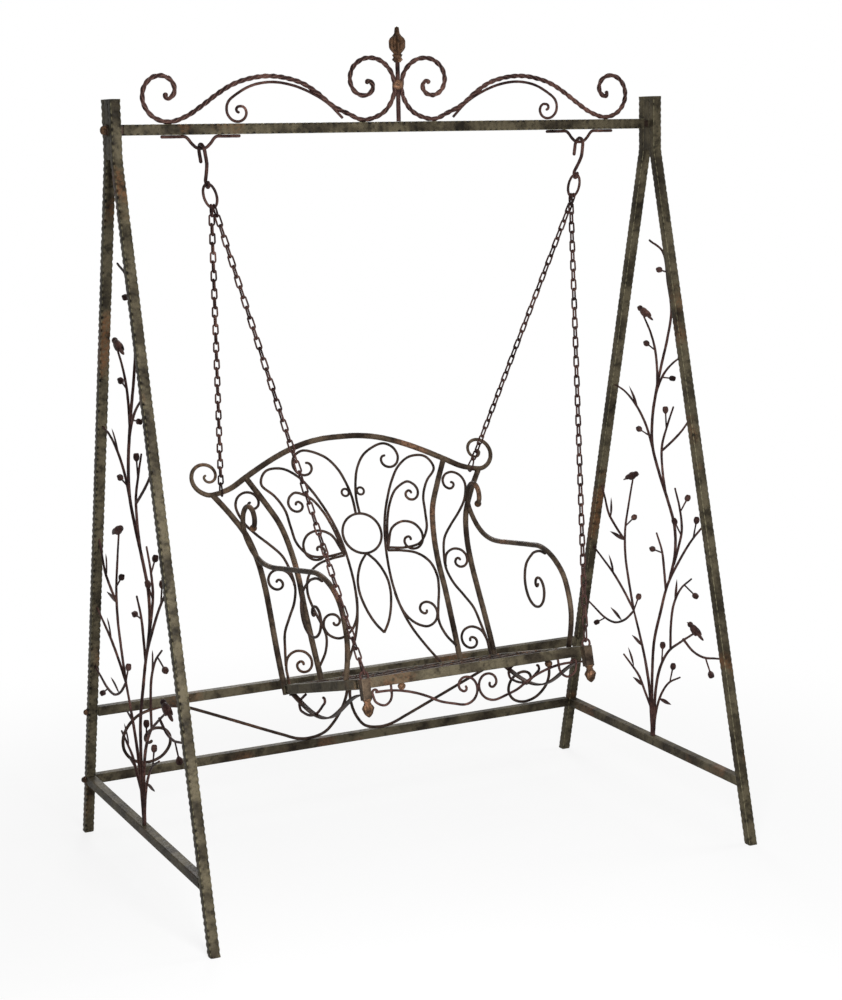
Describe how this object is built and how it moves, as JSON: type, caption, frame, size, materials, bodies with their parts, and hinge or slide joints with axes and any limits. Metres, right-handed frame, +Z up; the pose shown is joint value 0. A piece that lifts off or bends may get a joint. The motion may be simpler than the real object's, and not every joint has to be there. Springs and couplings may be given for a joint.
{
  "type": "garden swing chair",
  "caption": "Wrought iron garden swing: two leaning side frames with climbing stems, a scrolled top beam, and a chair with a scrollwork back hung on hooks, rings and chains.",
  "frame": {"origin": "on the ground, midway between the two side frames and midway between their front and rear feet", "axes": "+Z up, -Y the way the chair faces, +X towards the sitter's left; the top beam runs along X"},
  "size_m": [1.564, 1.012, 2.137],
  "materials": {
    "brown_iron": "brown lacquer with a worn copper bloom",
    "dark_iron": "dark brown lacquer",
    "burnished_iron": "brown lacquer rubbed bright",
    "copper_patina": "copper coloured lacquer with dark hollows"
  },
  "bodies": {
    "frame": {"bolt_beam_left": "copper_patina", "bolt_beam_right": "copper_patina", "bolt_lower_left": "copper_patina", "bolt_lower_right": "copper_patina", "bolt_upper_left": "copper_patina", "bolt_upper_right": "copper_patina", "centre_rod": "brown_iron", "climbing_stems_left": "dark_iron", "climbing_stems_right": "dark_iron", "hanger_left": "brown_iron", "hanger_right": "brown_iron", "head_block_left": "brown_iron", "head_block_right": "brown_iron", "leg_front_left": "brown_iron", "leg_front_right": "brown_iron", "leg_rear_left": "brown_iron", "leg_rear_right": "brown_iron", "rear_rail_lower": "brown_iron", "rear_rail_upper": "brown_iron", "rear_scroll_left": "brown_iron", "rear_scroll_right": "brown_iron", "stretcher_left": "brown_iron", "stretcher_right": "brown_iron", "top_beam": "brown_iron", "top_finial": "copper_patina", "top_scroll_left": "brown_iron", "top_scroll_right": "brown_iron"},
    "left_hook": {"hook_left": "dark_iron"},
    "right_hook": {"hook_right": "dark_iron"},
    "left_ring": {"ring_left": "dark_iron"},
    "right_ring": {"ring_right": "dark_iron"},
    "chair": {"apron_scroll_left": "brown_iron", "apron_scroll_right": "brown_iron", "arm_left": "burnished_iron", "arm_right": "burnished_iron", "arm_scroll_left": "brown_iron", "arm_scroll_right": "brown_iron", "back_medallion": "brown_iron", "back_post_inner_left": "burnished_iron", "back_post_inner_right": "burnished_iron", "back_post_outer_left": "burnished_iron", "back_post_outer_right": "burnished_iron", "back_scroll_left": "brown_iron", "back_scroll_right": "brown_iron", "back_top_rail": "burnished_iron", "chain_front_left": "dark_iron", "chain_front_right": "dark_iron", "chain_rear_left": "dark_iron", "chain_rear_right": "dark_iron", "corner_block_left": "copper_patina", "corner_block_right": "copper_patina", "seat_lattice": "dark_iron", "seat_rail_front": "brown_iron", "seat_rail_left": "brown_iron", "seat_rail_rear": "brown_iron", "seat_rail_right": "brown_iron", "side_scroll_left": "brown_iron", "side_scroll_right": "brown_iron", "under_strap_left": "brown_iron", "under_strap_right": "brown_iron"}
  },
  "joints": [
    {"name": "left_hook_swing", "type": "hinge", "parent": "frame", "child": "left_hook", "pos_m": [-0.531, 0, 1.8429], "axis": [1, 0, 0], "range_deg": [-20, 20]},
    {"name": "right_hook_swing", "type": "hinge", "parent": "frame", "child": "right_hook", "pos_m": [0.531, 0, 1.8429], "axis": [1, 0, 0], "range_deg": [-20, 20]},
    {"name": "left_ring_swing", "type": "hinge", "parent": "left_hook", "child": "left_ring", "pos_m": [-0.519, 0, 1.7564], "axis": [1, 0, 0], "range_deg": [-15, 15]},
    {"name": "right_ring_swing", "type": "hinge", "parent": "right_hook", "child": "right_ring", "pos_m": [0.519, 0, 1.7564], "axis": [1, 0, 0], "range_deg": [-15, 15]},
    {"name": "chair_swing", "type": "hinge", "parent": "left_hook", "child": "chair", "pos_m": [-0.519, 0, 1.7564], "axis": [1, 0, 0], "range_deg": [-15, 15]}
  ],
  "couplings": [
    {"joint": "right_hook_swing", "follows": "left_hook_swing", "ratio": 1},
    {"joint": "left_ring_swing", "follows": "chair_swing", "ratio": 1},
    {"joint": "right_ring_swing", "follows": "chair_swing", "ratio": 1}
  ]
}
